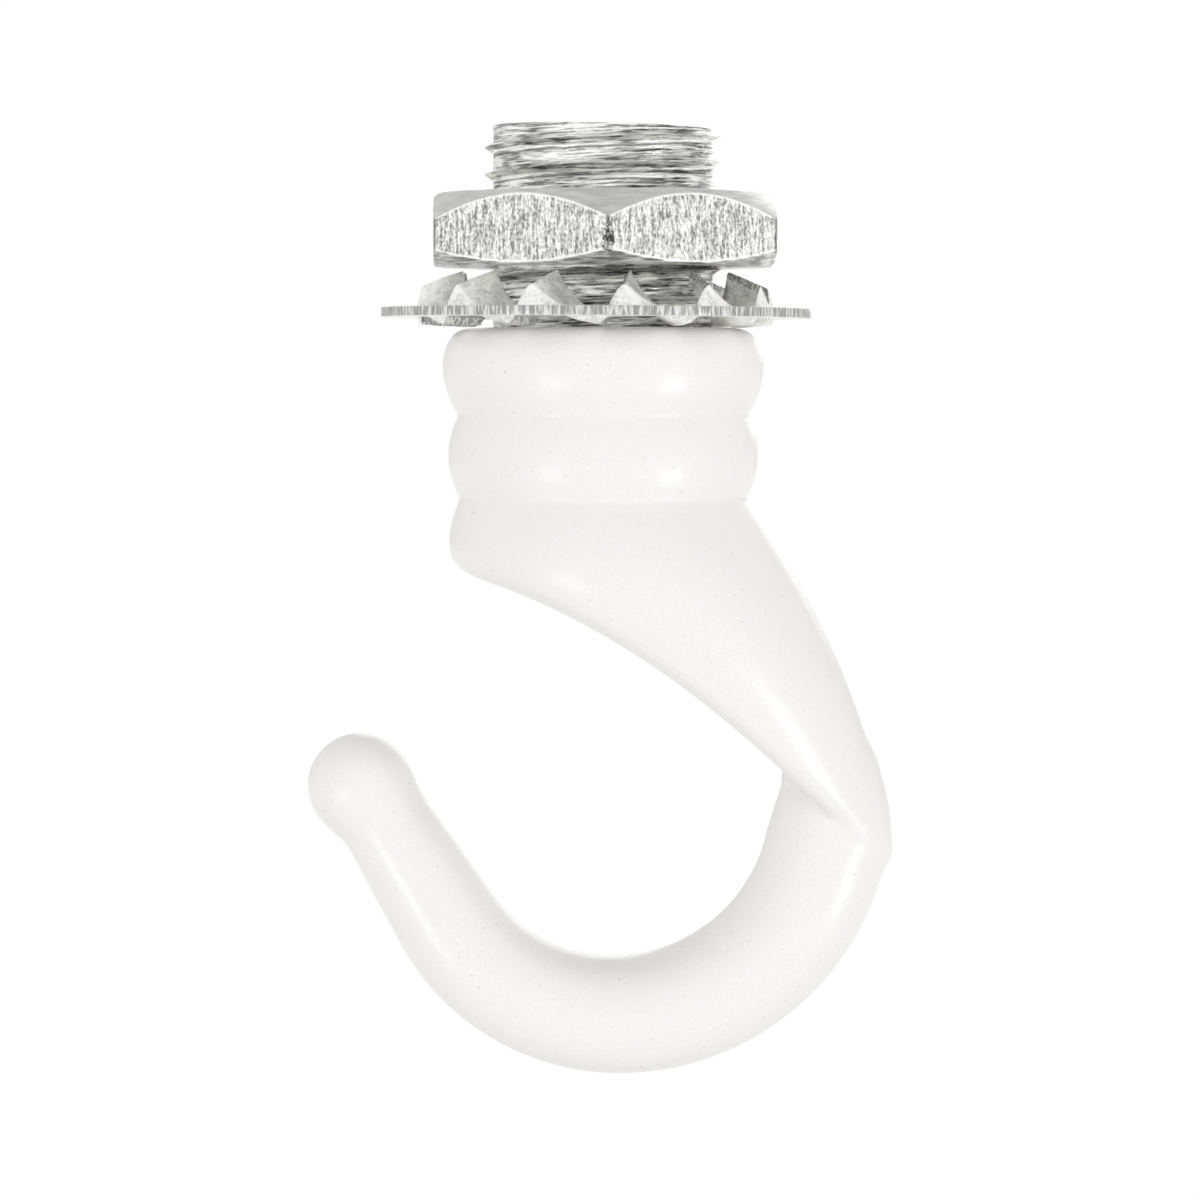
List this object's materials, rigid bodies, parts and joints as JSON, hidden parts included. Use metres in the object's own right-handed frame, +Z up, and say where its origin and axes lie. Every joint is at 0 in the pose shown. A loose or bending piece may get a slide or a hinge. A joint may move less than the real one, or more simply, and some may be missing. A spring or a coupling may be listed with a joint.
{
  "type": "ceiling screw hook",
  "caption": "Ceiling hook: an enamelled casting with a ribbed collar, a slanted wire spout and a ball-ended hook, on a hollow threaded nipple with a nut and a lock washer.",
  "frame": {"origin": "on the nipple's axis, in the plane of the collar's flat top", "axes": "+Z up along the nipple, towards its free end; +X towards the spout's back; +Y away from the viewer of the picture"},
  "size_m": [0.0327, 0.024, 0.0531],
  "materials": {
    "enamel": "satin white enamel with a faint orange peel",
    "nipple_zinc": "zinc-plated rolled thread",
    "washer_zinc": "zinc-plated spring sheet",
    "nut_zinc": "zinc-plated, with upright machining marks on the flats"
  },
  "bodies": {
    "root": {"hook_body": "enamel", "threaded_nipple": "nipple_zinc", "lock_washer": "washer_zinc", "hex_nut": "nut_zinc"}
  },
  "joints": []
}
